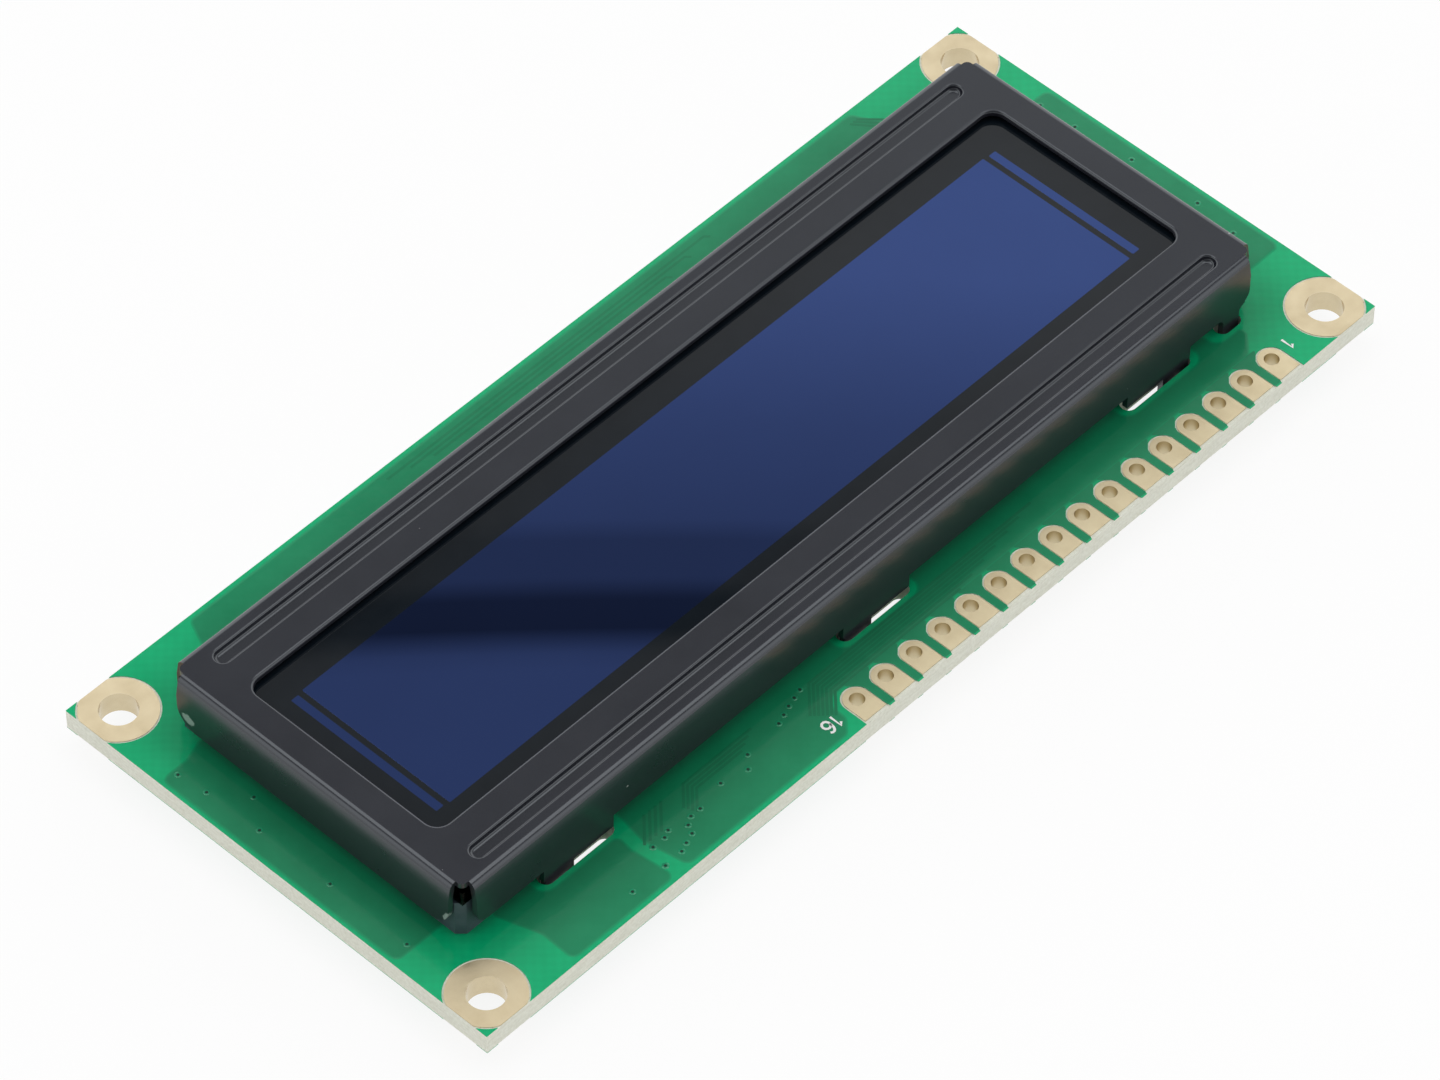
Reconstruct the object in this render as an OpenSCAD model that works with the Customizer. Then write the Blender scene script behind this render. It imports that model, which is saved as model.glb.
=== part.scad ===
// Character OLED module, two lines of sixteen characters.
// A glass display panel sits under a folded sheet-metal bezel on a green circuit board.
// The origin is the centre of the mounting-hole pattern on the board's rear face.
// +X runs along the text lines, +Y points to the header row, +Z out of the display.

/* [Board] */
// Length of the circuit board
board_l = 79.5; // [68:0.5:96]
// Width of the circuit board
board_w = 35.5; // [31:0.5:48]
// Thickness of the finished board, coat to coat
board_t = 1.6; // [1:0.1:2.4]
// Thickness of each solder mask coat
mask_t = 0.05; // [0.03:0.01:0.08]
// Bare ring of laminate between a land and the coat around it
mask_gap = 0.12; // [0.06:0.01:0.18]
// Strip along the board's edge that is kept free of copper
edge_gap = 0.22; // [0.1:0.02:0.4]
// Wall of the plating in every plated hole
plating_t = 0.05; // [0.03:0.01:0.08]

/* [Mounting holes] */
// Distance from the board's edges to the hole centres
hole_inset = 2.25; // [2:0.05:2.5]
// Diameter of the plated hole
hole_d = 2.5; // [2.2:0.1:2.8]
// Diameter of the bare ring around the hole
ring_d = 5; // [4.4:0.1:5.4]

/* [Header row] */
// Number of header holes
pin_count = 16; // [14:1:16]
// Pitch of the header holes
pin_pitch = 2.54; // [2.5:0.01:2.56]
// Distance from the board's left edge to the first hole
pin_start = 7.9; // [7:0.1:9]
// Distance from the board's header edge to the holes
pin_edge = 1.75; // [1.6:0.05:2]
// Diameter of a header hole
pin_hole_d = 1; // [0.8:0.05:1.1]
// Width of a header land
pin_land_w = 1.84; // [1.6:0.02:1.9]

/* [Bezel] */
// Board left free at each end of the bezel, before its offset
bezel_margin_x = 4.15; // [3.8:0.05:5]
// Board left free at each long side of the bezel, before its offset
bezel_margin_y = 5.15; // [5:0.05:6]
// Height of the bezel's face above the board
bezel_h = 4.8; // [4.4:0.1:6]
// Offset of the bezel's centre along the board
bezel_x = 0.55; // [0:0.05:1]
// Offset of the bezel's centre across the board
bezel_y = -0.3; // [-0.5:0.05:0.3]
// Thickness of the bezel's sheet
sheet_t = 0.4; // [0.3:0.02:0.42]
// Outer radius of the folds
fold_r = 0.5; // [0.46:0.02:0.6]
// Draft of the upper band of each flange, in degrees
draft = 10; // [4:1:14]
// Depth of the drafted band below the face
draft_h = 1.4; // [1:0.1:1.8]
// Open length left at each corner between two flanges
corner_gap = 1.2; // [0.8:0.05:1.4]
// Corner radius of the face between two flanges
face_r = 0.4; // [0.2:0.05:0.6]
// Rim of the face at each end of the window
window_rim_x = 2.6; // [2.4:0.1:3.6]
// Rim of the face at each long side of the window
window_rim_y = 4.6; // [4.4:0.1:5.2]
// Corner radius of the viewing window
window_r = 1; // [0.5:0.1:2]
// Radius of the rolled edge along the window
window_roll = 0.2; // [0.1:0.02:0.28]
// Distance from the bezel's ends to the pressed grooves
groove_end = 2.6; // [2.2:0.1:6]
// Width of each pressed groove
groove_w = 1.4; // [1.3:0.05:1.6]
// Depth of each pressed groove
groove_d = 0.4; // [0.3:0.01:0.42]
// Distance from the bezel's long side to a groove's middle
groove_side = 1.9; // [1.8:0.05:2]
// Gap between the long flanges and the board
long_gap = 1.2; // [0.8:0.1:1.4]
// Gap between the short flanges and the board
short_gap = 0.9; // [0.6:0.1:1.4]
// Corner radius of the long flanges' lower corners
long_corner_r = 0.9; // [0.5:0.1:1]
// Corner radius of the short flanges' lower corners
short_corner_r = 1.6; // [0.8:0.1:2]

/* [Tabs] */
// Distance from the bezel's ends to the middle of the outer tabs
tab_end = 9.7; // [8.5:0.1:12]
// Width of a tab's root
tab_w = 5.9; // [5:0.1:7]
// Gap between a tab's root and the board
tab_gap = 0.15; // [0.1:0.05:0.4]
// Width of the finger that passes through the board
finger_w = 2.4; // [2:0.1:2.8]
// Step from the tab's end to the finger
finger_step = 0.12; // [0.1:0.02:0.3]
// Length of the finger behind the board
finger_out = 1.4; // [1.25:0.05:2]
// Twist that locks the finger, in degrees
finger_twist = 35; // [20:5:45]
// Width of the locating leg at one end of each long flange
leg_w = 1.5; // [1.2:0.1:1.8]
// Distance from the flange's end to the locating leg
leg_inset = 0.9; // [0.9:0.1:1.6]
// Radius of the inner corner between the leg and its flange
leg_fillet = 0.5; // [0.2:0.1:0.8]
// Length of the locating leg behind the board
leg_out = 0.3; // [0.1:0.1:0.6]
// Play around the tabs in the board's slots
slot_play = 0.1; // [0.06:0.02:0.2]
// Width of the slots
slot_w = 1.15; // [1.05:0.05:1.3]
// Offset of the slots from the flange towards the middle of the bezel
slot_in = 0.1; // [0:0.02:0.12]

/* [Panel] */
// Thickness of the polarizer film
film_t = 0.1; // [0.06:0.02:0.28]
// Thickness of the substrate glass
glass_t = 1.1; // [0.7:0.1:1.3]
// Lap of the film behind the rim at each end
film_lap_x = 1; // [0.4:0.1:1.4]
// Lap of the film behind the rim at each long side
film_lap_y = 1.4; // [0.4:0.1:1.5]
// Play between the glass and the bezel's flanges
glass_play = 0.3; // [0.2:0.05:0.5]
// Dark border between the window's ends and the emitting area
border_x = 2.85; // [2.5:0.05:4]
// Dark border between the window's long sides and the emitting area
border_y = 1.8; // [1.6:0.05:2.6]
// Thickness of the emitting layers and of the seal around them
emitter_t = 0.05; // [0.03:0.01:0.08]
// Gap between the emitting layers and the seal
seal_gap = 0.6; // [0.3:0.1:0.8]
// Width of the seal
seal_w = 1.2; // [0.8:0.1:1.4]
// Thickness of the glass cap behind the panel
cap_t = 0.9; // [0.7:0.05:1.2]
// Depth of the cap's hollow
cap_hollow = 0.4; // [0.3:0.05:0.5]
// Thickness of the drying sheet in the cap
dryer_t = 0.2; // [0.1:0.05:0.25]
// Margin around the drying sheet
dryer_margin = 2; // [1:0.5:4]

/* [Spacer frame] */
// Play between the frame and the bezel's short flanges
frame_play = 0.1; // [0.06:0.02:0.2]
// Chamfer of the frame's outer corners
post_chamfer = 0.5; // [0.3:0.05:0.7]
// Wall of the frame outside the contact strips
frame_wall = 0.7; // [0.5:0.05:0.8]
// Width of the elastomer contact strips
strip_w = 1.8; // [1.4:0.1:1.9]
// Wall of the frame at the ends of the contact strips
strip_end = 2.1; // [1.5:0.1:4]
// Play around a contact strip
strip_play = 0.05; // [0.02:0.01:0.1]
// Play around the glass cap
cap_play = 0.3; // [0.2:0.05:0.4]

/* [Rear parts] */
// Place of the controller chip along the board
die_x = -4; // [-10:0.5:2]
// Length of the controller chip
die_l = 5.6; // [4:0.1:7]
// Width of the controller chip
die_w = 2.2; // [1.5:0.1:3]
// Thickness of the controller chip
die_t = 0.35; // [0.25:0.05:0.45]
// Diameter of the moulding drop over the controller chip
drop_d = 14; // [12:0.5:16]
// Height of the moulding drop
drop_h = 1.1; // [0.9:0.05:1.2]
// Number of chip resistors
resistor_count = 6; // [1:1:7]
// Number of chip capacitors
capacitor_count = 5; // [1:1:6]
// Length of a chip part
chip_l = 2; // [1.8:0.1:2.2]
// Width of a chip part
chip_w = 1.25; // [1.1:0.05:1.4]
// Height of a chip resistor
resistor_h = 0.5; // [0.4:0.05:0.6]
// Height of a chip capacitor
capacitor_h = 0.85; // [0.6:0.05:1]
// Length of a chip's metal end
chip_end = 0.4; // [0.3:0.05:0.5]
// Pitch of the chip resistors
resistor_pitch = 3.4; // [3:0.1:3.8]
// Pitch of the chip capacitors
capacitor_pitch = 3.8; // [3.2:0.1:4]
// Place of the first chip part along the board
chip_x = 13; // [11:0.5:14]
// Distance of the chip rows from the board's middle
chip_row_y = 6; // [5:0.5:7]
// Reach of a solder land beyond the chip
land_reach = 0.45; // [0.3:0.05:0.6]

/* [Hidden] */
$fn = 48;
slack = 1;
overlap = 0.05;
lip_r = 0.15;
groove_floor_r = groove_d - lip_r;
groove_floor = groove_w / 2 - lip_r - groove_floor_r;

hole_pitch_x = board_l - 2 * hole_inset;
hole_pitch_y = board_w - 2 * hole_inset;
pin_x = pin_start - board_l / 2;
pin_y = board_w / 2 - pin_edge;
land_l = pin_edge - edge_gap;

bezel_l = board_l - 2 * bezel_margin_x;
bezel_w = board_w - 2 * bezel_margin_y;
fold_in = fold_r * cos(draft) + (draft_h - fold_r + fold_r * sin(draft)) * tan(draft);
half_l = bezel_l / 2;
half_w = bezel_w / 2;
long_half = half_l - corner_gap;
short_half = half_w - corner_gap;
sheet_y = half_w - sheet_t / 2;
window_l = bezel_l - 2 * window_rim_x;
window_w = bezel_w - 2 * window_rim_y;
groove_l = bezel_l - 2 * groove_end;
groove_y = half_w - groove_side;
leg_x = -long_half + leg_inset + leg_w / 2;
tab_pitch = half_l - tab_end;
tabs = [[-tab_pitch, -1], [0, 1], [tab_pitch, 1]];
finger_shift = (tab_w - finger_w) / 2 - finger_step;

film_l = window_l + 2 * film_lap_x;
film_w = window_w + 2 * film_lap_y;
glass_top = bezel_h - sheet_t - groove_d;
glass_l = bezel_l - 2 * sheet_t - 2 * glass_play;
glass_w = bezel_w - 2 * sheet_t - 2 * glass_play;
glass_low = glass_top - glass_t;
emitter_l = window_l - 2 * border_x;
emitter_w = window_w - 2 * border_y;
seal_in_l = emitter_l + 2 * seal_gap;
seal_in_w = emitter_w + 2 * seal_gap;
cap_l = seal_in_l + 2 * seal_w;
cap_w = seal_in_w + 2 * seal_w;
cap_top = glass_low - emitter_t;
hollow_floor = cap_top - cap_hollow;

frame_l = bezel_l - 2 * sheet_t - 2 * frame_play;
frame_w = glass_w;
strip_l = frame_l - 2 * strip_end;
strip_y = frame_w / 2 - frame_wall - strip_play - strip_w / 2;

// Places

module at_mounting_holes() {
    for (x = [-1, 1], y = [-1, 1])
        translate([x * hole_pitch_x / 2, y * hole_pitch_y / 2, 0])
            children();
}

module at_header_holes() {
    for (i = [0 : pin_count - 1])
        translate([pin_x + i * pin_pitch, pin_y, 0])
            children();
}

module at_bezel() {
    translate([bezel_x, bezel_y, board_t])
        children();
}

module both_ways() {
    for (turn = [0, 180])
        rotate(turn)
            children();
}

module at_resistors() {
    for (i = [0 : resistor_count - 1])
        translate([chip_x + i * resistor_pitch, chip_row_y, 0])
            children();
}

module at_capacitors() {
    for (i = [0 : capacitor_count - 1])
        translate([chip_x + i * capacitor_pitch, -chip_row_y, 0])
            children();
}

module at_chips() {
    at_resistors()
        children();
    at_capacitors()
        children();
}

// Flat outlines

module plate(l, w, t) {
    translate([-l / 2, -w / 2, 0])
        cube([l, w, t]);
}

module stadium(l, w) {
    square([l - w, w], center = true);
    for (side = [-1, 1])
        translate([side * (l - w) / 2, 0])
            circle(d = w);
}

module rounded_rectangle(l, w, r) {
    square([l - 2 * r, w], center = true);
    square([l, w - 2 * r], center = true);
    for (x = [-1, 1], y = [-1, 1])
        translate([x * (l / 2 - r), y * (w / 2 - r)])
            circle(r);
}

module header_land(grow, reach) {
    half = pin_land_w / 2 + grow;
    circle(half);
    translate([-half, 0])
        square([2 * half, reach]);
}

module ring_land() {
    intersection() {
        at_mounting_holes()
            circle(d = ring_d);
        square([board_l - 2 * edge_gap, board_w - 2 * edge_gap], center = true);
    }
}

module chip_lands(grow) {
    reach = chip_end + land_reach;
    for (side = [-1, 1])
        translate([0, side * (chip_l / 2 + land_reach - reach / 2)])
            square([chip_w + 2 * grow, reach + 2 * grow], center = true);
}

// Board

module board_cuts() {
    at_mounting_holes()
        circle(d = hole_d + 2 * plating_t);
    at_header_holes()
        circle(d = pin_hole_d + 2 * plating_t);
    slots();
}

module slots() {
    translate([bezel_x, bezel_y])
        both_ways() {
            for (tab = tabs)
                translate([tab[0], sheet_y - slot_in])
                    stadium(tab_w + 2 * slot_play, slot_w);
            translate([leg_x, sheet_y - slot_in])
                stadium(leg_w + slot_w / 2, slot_w);
        }
}

module coat_cuts() {
    at_mounting_holes()
        circle(d = ring_d + 2 * mask_gap);
    at_header_holes()
        header_land(mask_gap, pin_edge + slack);
    slots();
}

module laminate() {
    color("Beige")
        translate([0, 0, mask_t])
            linear_extrude(board_t - 2 * mask_t)
                difference() {
                    square([board_l, board_w], center = true);
                    board_cuts();
                }
}

module solder_mask_front() {
    color("SeaGreen")
        translate([0, 0, board_t - mask_t])
            linear_extrude(mask_t)
                difference() {
                    square([board_l, board_w], center = true);
                    coat_cuts();
                }
}

module solder_mask_rear() {
    color("SeaGreen")
        linear_extrude(mask_t)
            difference() {
                square([board_l, board_w], center = true);
                coat_cuts();
                at_chips()
                    chip_lands(mask_gap);
            }
}

module mounting_hole_plating() {
    color("Khaki")
        difference() {
            union() {
                for (z = [0, board_t - mask_t])
                    translate([0, 0, z])
                        linear_extrude(mask_t)
                            ring_land();
                at_mounting_holes()
                    cylinder(d = hole_d + 2 * plating_t, h = board_t);
            }
            translate([0, 0, -slack])
                at_mounting_holes()
                    cylinder(d = hole_d, h = board_t + 2 * slack);
        }
}

module header_hole_plating() {
    color("Khaki")
        at_header_holes()
            difference() {
                union() {
                    for (z = [0, board_t - mask_t])
                        translate([0, 0, z])
                            linear_extrude(mask_t)
                                header_land(0, land_l);
                    cylinder(d = pin_hole_d + 2 * plating_t, h = board_t);
                }
                translate([0, 0, -slack])
                    cylinder(d = pin_hole_d, h = board_t + 2 * slack);
            }
}

// Bezel

// Filled outline of a folded edge, seen along the fold and drawn inwards by depth
module fold_outline(half, low, depth) {
    r = fold_r - depth;
    middle = [half - fold_in, bezel_h - fold_r];
    translate(middle)
        circle(r);
    polygon([
        [half - fold_in - overlap - depth, low],
        [half - fold_in - overlap - depth, bezel_h - depth],
        [half - fold_in, bezel_h - depth],
        middle + r * [cos(draft), sin(draft)],
        [half - depth, bezel_h - draft_h - depth * tan(draft / 2)],
        [half - depth, low]
    ]);
}

// Section of the folded sheet
module fold_section(half, low) {
    difference() {
        fold_outline(half, low, 0);
        fold_outline(half, low - slack, sheet_t);
    }
}

// Outline of a flange from its side, with round lower corners
module flange_outline(half, gap, r) {
    translate([-half, gap + r])
        square([2 * half, bezel_h + slack - gap - r]);
    translate([r - half, gap])
        square([2 * (half - r), bezel_h - gap]);
    for (side = [-1, 1])
        translate([side * (half - r), gap + r])
            circle(r);
}

module long_flange() {
    low = -board_t - leg_out;
    intersection() {
        rotate([90, 0, 90])
            linear_extrude(2 * long_half, center = true)
                fold_section(half_w, low);
        rotate([90, 0, 0])
            linear_extrude(2 * bezel_w, center = true) {
                flange_outline(long_half, long_gap, long_corner_r);
                for (tab = tabs) {
                    translate([tab[0] - tab_w / 2, tab_gap])
                        square([tab_w, long_gap]);
                    translate([tab[0] + tab[1] * finger_shift - finger_w / 2, -board_t])
                        square([finger_w, board_t + long_gap]);
                }
                translate([leg_x - leg_w / 2, low])
                    square([leg_w, long_gap + 2 * long_corner_r - low]);
                translate([leg_x, long_gap - leg_fillet])
                    leg_corners();
            }
    }
    for (tab = tabs)
        translate([tab[0] + tab[1] * finger_shift, sheet_y, -board_t - finger_out])
            rotate(tab[1] * finger_twist)
                linear_extrude(finger_out, twist = tab[1] * finger_twist, slices = 6, segments = 4)
                    square([finger_w, sheet_t], center = true);
}

// Round inner corners at both sides of the leg
module leg_corners() {
    difference() {
        translate([-leg_w / 2 - leg_fillet, 0])
            square([leg_w + 2 * leg_fillet, leg_fillet + long_corner_r / 4]);
        for (side = [-1, 1])
            translate([side * (leg_w / 2 + leg_fillet), 0])
                circle(leg_fillet);
    }
}

module short_flange() {
    intersection() {
        rotate([90, 0, 0])
            linear_extrude(2 * short_half, center = true)
                fold_section(half_l, 0);
        rotate([90, 0, 90])
            linear_extrude(2 * bezel_l, center = true)
                flange_outline(short_half, short_gap, short_corner_r);
    }
}

module bezel_face() {
    translate([0, 0, bezel_h - sheet_t])
        linear_extrude(sheet_t)
            rounded_rectangle(bezel_l - 2 * fold_in, bezel_w - 2 * fold_in, face_r);
}

// Section of the cut that makes a groove, measured down from the face
module groove_section() {
    wall = groove_floor + groove_floor_r;
    translate([-groove_floor, -groove_d])
        square([2 * groove_floor, groove_d + slack]);
    translate([-wall, groove_floor_r - groove_d])
        square([2 * wall, groove_d - groove_floor_r + slack]);
    for (side = [-1, 1]) {
        translate([side * groove_floor, groove_floor_r - groove_d])
            circle(groove_floor_r);
        difference() {
            translate([side * (wall + groove_w / 2) / 2, -lip_r / 2])
                square([groove_w / 2 - wall, lip_r], center = true);
            translate([side * groove_w / 2, -lip_r])
                circle(lip_r);
        }
    }
}

// Section of the rib that the groove raises under the face
module rib_section() {
    r = groove_floor_r + sheet_t;
    intersection() {
        union() {
            for (side = [-1, 1])
                translate([side * groove_floor, groove_floor_r - groove_d])
                    circle(r);
            translate([-groove_floor, -groove_d - sheet_t])
                square([2 * groove_floor, groove_d + sheet_t]);
        }
        translate([-groove_w, -groove_d - sheet_t])
            square([2 * groove_w, groove_d + sheet_t / 2]);
    }
}

// Sweeps a section along a groove, with its round ends
module along_groove() {
    run = groove_l - groove_w;
    rotate([90, 0, 90])
        linear_extrude(run, center = true)
            children();
    for (side = [-1, 1])
        translate([side * run / 2, 0, 0])
            rotate_extrude()
                intersection() {
                    children();
                    translate([0, -bezel_h])
                        square([bezel_h, 2 * bezel_h]);
                }
}

module window_cut() {
    translate([0, 0, -slack - sheet_t])
        linear_extrude(sheet_t + 2 * slack)
            rounded_rectangle(window_l, window_w, window_r);
    rotate([90, 0, 90])
        linear_extrude(window_l - 2 * window_r, center = true)
            roll_section(window_w / 2);
    rotate([90, 0, 0])
        linear_extrude(window_w - 2 * window_r, center = true)
            roll_section(window_l / 2);
    for (x = [-1, 1], y = [-1, 1])
        translate([x * (window_l / 2 - window_r), y * (window_w / 2 - window_r), 0])
            rotate_extrude()
                intersection() {
                    roll_section(window_r);
                    translate([0, -bezel_h])
                        square([bezel_h, 2 * bezel_h]);
                }
}

// Section of the cut that rolls the window's upper edge over, measured down from the face
module roll_section(half) {
    difference() {
        translate([-half - window_roll, -window_roll])
            square([2 * (half + window_roll), window_roll + slack]);
        for (side = [-1, 1])
            translate([side * (half + window_roll), -window_roll])
                circle(window_roll);
    }
}

module bezel() {
    color("DimGray")
        at_bezel()
            difference() {
                union() {
                    bezel_face();
                    both_ways() {
                        long_flange();
                        short_flange();
                        translate([0, groove_y, bezel_h])
                            along_groove()
                                rib_section();
                    }
                }
                translate([0, 0, bezel_h]) {
                    window_cut();
                    both_ways()
                        translate([0, groove_y, 0])
                            along_groove()
                                groove_section();
                }
            }
}

// Panel

module polarizer_film() {
    color("DarkSlateGray")
        at_bezel()
            translate([0, 0, glass_top])
                plate(film_l, film_w, film_t);
}

module substrate_glass() {
    color("LightSteelBlue", 0.5)
        at_bezel()
            translate([0, 0, glass_low])
                plate(glass_l, glass_w, glass_t);
}

module emitter_layer() {
    color("MidnightBlue")
        at_bezel()
            translate([0, 0, glass_low - emitter_t])
                plate(emitter_l, emitter_w, emitter_t);
}

module panel_seal() {
    color("Gray")
        at_bezel()
            translate([0, 0, glass_low - emitter_t])
                linear_extrude(emitter_t)
                    difference() {
                        square([cap_l, cap_w], center = true);
                        square([seal_in_l, seal_in_w], center = true);
                    }
}

module rear_cap() {
    color("LightSteelBlue")
        at_bezel()
            difference() {
                translate([0, 0, cap_top - cap_t])
                    plate(cap_l, cap_w, cap_t);
                translate([0, 0, hollow_floor])
                    plate(seal_in_l, seal_in_w, cap_hollow + slack);
            }
}

module drying_sheet() {
    color("WhiteSmoke")
        at_bezel()
            translate([0, 0, hollow_floor])
                plate(seal_in_l - 2 * dryer_margin, seal_in_w - 2 * dryer_margin, dryer_t);
}

module spacer_frame() {
    color("SlateGray")
        at_bezel()
            linear_extrude(glass_low)
                difference() {
                    frame_outline();
                    square([cap_l + 2 * cap_play, cap_w + 2 * cap_play], center = true);
                    for (side = [-1, 1])
                        translate([0, side * strip_y])
                            square([strip_l + 2 * strip_play, strip_w + 2 * strip_play], center = true);
                }
}

// Outline of the frame, with its four corners cut across
module frame_outline() {
    for (cut = [[0, post_chamfer], [post_chamfer, 0]])
        square([frame_l - 2 * cut[0], frame_w - 2 * cut[1]], center = true);
    for (x = [-1, 1], y = [-1, 1])
        translate([x * (frame_l / 2 - post_chamfer), y * (frame_w / 2 - post_chamfer)])
            rotate(45)
                square(post_chamfer * sqrt(2), center = true);
}

module contact_strip(side) {
    color("Pink")
        at_bezel()
            translate([0, side * strip_y, 0])
                plate(strip_l, strip_w, glass_low);
}

module contact_strip_upper() {
    contact_strip(1);
}

module contact_strip_lower() {
    contact_strip(-1);
}

// Rear parts

module die_block() {
    translate([die_x, 0, -die_t])
        plate(die_l, die_w, die_t);
}

module controller_die() {
    color("SlateGray")
        die_block();
}

module moulding_drop() {
    dome_r = (pow(drop_d / 2, 2) + pow(drop_h, 2)) / (2 * drop_h);
    color("Black")
        difference() {
            intersection() {
                translate([die_x, 0, dome_r - drop_h])
                    sphere(dome_r, $fn = 240);
                translate([die_x, 0, -drop_h - slack])
                    cylinder(d = drop_d, h = drop_h + slack);
            }
            die_block();
        }
}

module chip_body(h) {
    translate([0, 0, -h])
        plate(chip_w, chip_l - 2 * chip_end, h);
}

module chip_resistors() {
    color("Black")
        at_resistors()
            chip_body(resistor_h);
}

module chip_capacitors() {
    color("Tan")
        at_capacitors()
            chip_body(capacitor_h);
}

module end_pair(h) {
    for (side = [-1, 1])
        translate([0, side * (chip_l - chip_end) / 2, -h])
            plate(chip_w, chip_end, h);
}

module chip_ends() {
    color("Silver") {
        at_resistors()
            end_pair(resistor_h);
        at_capacitors()
            end_pair(capacitor_h);
    }
}

// Flat land in the coat's opening and the sloped solder against the chip's end
module joint_pair(h) {
    rise = h * 0.7;
    for (turn = [0, 180])
        rotate(turn)
            rotate([90, 0, 90])
                linear_extrude(chip_w, center = true) {
                    translate([chip_l / 2 - chip_end, 0])
                        square([chip_end + land_reach, mask_t]);
                    polygon([
                        [chip_l / 2, 0],
                        [chip_l / 2, -rise],
                        [chip_l / 2 + land_reach, 0]
                    ]);
                }
}

module solder_joints() {
    color("Silver") {
        at_resistors()
            joint_pair(resistor_h);
        at_capacitors()
            joint_pair(capacitor_h);
    }
}

laminate();
solder_mask_front();
solder_mask_rear();
mounting_hole_plating();
header_hole_plating();
bezel();
polarizer_film();
substrate_glass();
emitter_layer();
panel_seal();
rear_cap();
drying_sheet();
spacer_frame();
contact_strip_upper();
contact_strip_lower();
controller_die();
moulding_drop();
chip_resistors();
chip_capacitors();
chip_ends();
solder_joints();
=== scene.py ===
import math

import bmesh
import bpy
from mathutils import Matrix, Vector


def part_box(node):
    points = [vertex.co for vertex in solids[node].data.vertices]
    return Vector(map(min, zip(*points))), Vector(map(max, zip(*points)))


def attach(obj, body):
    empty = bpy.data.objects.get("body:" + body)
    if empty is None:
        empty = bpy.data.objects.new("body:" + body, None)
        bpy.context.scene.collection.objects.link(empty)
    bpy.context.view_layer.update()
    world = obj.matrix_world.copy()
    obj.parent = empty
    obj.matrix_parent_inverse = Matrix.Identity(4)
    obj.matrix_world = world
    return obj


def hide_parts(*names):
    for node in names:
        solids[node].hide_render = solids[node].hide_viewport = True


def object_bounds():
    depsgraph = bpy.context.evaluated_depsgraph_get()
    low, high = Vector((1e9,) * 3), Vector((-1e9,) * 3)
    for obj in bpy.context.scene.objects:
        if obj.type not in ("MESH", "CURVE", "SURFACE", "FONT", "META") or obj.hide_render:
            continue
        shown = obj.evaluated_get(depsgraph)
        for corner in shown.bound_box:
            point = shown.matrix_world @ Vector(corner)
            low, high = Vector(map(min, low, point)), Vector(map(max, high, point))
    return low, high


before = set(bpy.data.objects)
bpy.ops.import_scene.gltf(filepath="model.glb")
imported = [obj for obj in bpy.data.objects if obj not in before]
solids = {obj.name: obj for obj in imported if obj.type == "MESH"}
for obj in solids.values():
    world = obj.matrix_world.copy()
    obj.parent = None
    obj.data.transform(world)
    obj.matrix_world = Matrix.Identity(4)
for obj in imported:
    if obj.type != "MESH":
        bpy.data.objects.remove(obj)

cad_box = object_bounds()


# Board core: one sheet of woven glass cloth and epoxy, routed to its outline and slotted for the
# bezel's tabs. Its faces lie under the green coat, and its cut edges are bare, pale and fibrous.
MM = 0.001


def put(tree, kind, inputs=None, **settings):
    """One node in a tree: a socket given a value is set, and one given an output is linked."""
    made = tree.nodes.new(kind)
    for label, value in settings.items():
        setattr(made, label, value)
    for label, value in (inputs or {}).items():
        if isinstance(value, bpy.types.NodeSocket):
            tree.links.new(value, made.inputs[label])
        else:
            made.inputs[label].default_value = value
    return made


def finish(name, constants):
    """A material with one Principled shader, and the values that are the same all over it."""
    made = bpy.data.materials.new(name)
    made.use_nodes = True
    shader = made.node_tree.nodes["Principled BSDF"]
    for label, value in constants.items():
        shader.inputs[label].default_value = value
    return made, made.node_tree, shader


def two_tone(tree, mask, low, high, start=0.0, end=1.0):
    """A colour that runs from low to high as the mask runs from start to end."""
    ramp = put(tree, "ShaderNodeValToRGB", {"Fac": mask})
    ramp.color_ramp.elements[0].position = start
    ramp.color_ramp.elements[0].color = (*low, 1)
    ramp.color_ramp.elements[1].position = end
    ramp.color_ramp.elements[1].color = (*high, 1)
    return ramp.outputs["Color"]


def tint(tree, shader, mask, low, high, start=0.0, end=1.0):
    """Gives a shader a base colour that runs from low to high with a mask."""
    tree.links.new(two_tone(tree, mask, low, high, start, end), shader.inputs["Base Color"])


def relief(tree, shader, height, depth, strength=1.0):
    """Bump of a given depth in metres on a shader's normal."""
    bump = put(tree, "ShaderNodeBump", {"Height": height, "Distance": depth, "Strength": strength})
    tree.links.new(bump.outputs["Normal"], shader.inputs["Normal"])


def dress(node, made):
    """Puts a finish on a solid that is shown as it was built."""
    for place in solids[node].material_slots:
        place.material = made


core, tree, shader = finish("bare_laminate", {"Roughness": 0.62, "IOR": 1.5})
where = put(tree, "ShaderNodeTexCoord").outputs["Object"]
flat = put(tree, "ShaderNodeMapping", {"Vector": where, "Scale": (700.0, 700.0, 6500.0)})
layers = put(tree, "ShaderNodeTexNoise",
             {"Vector": flat.outputs["Vector"], "Scale": 1.0, "Detail": 5.0, "Roughness": 0.65})
saw = put(tree, "ShaderNodeTexNoise", {"Vector": where, "Scale": 5200.0, "Detail": 3.0})
both = put(tree, "ShaderNodeMath", {0: layers.outputs["Fac"], 1: saw.outputs["Fac"]}, operation="ADD")
half = put(tree, "ShaderNodeMath", {0: both.outputs[0], 1: 0.5}, operation="MULTIPLY")
tint(tree, shader, half.outputs[0], (0.66, 0.66, 0.55), (0.81, 0.82, 0.72), 0.3, 0.62)
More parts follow.
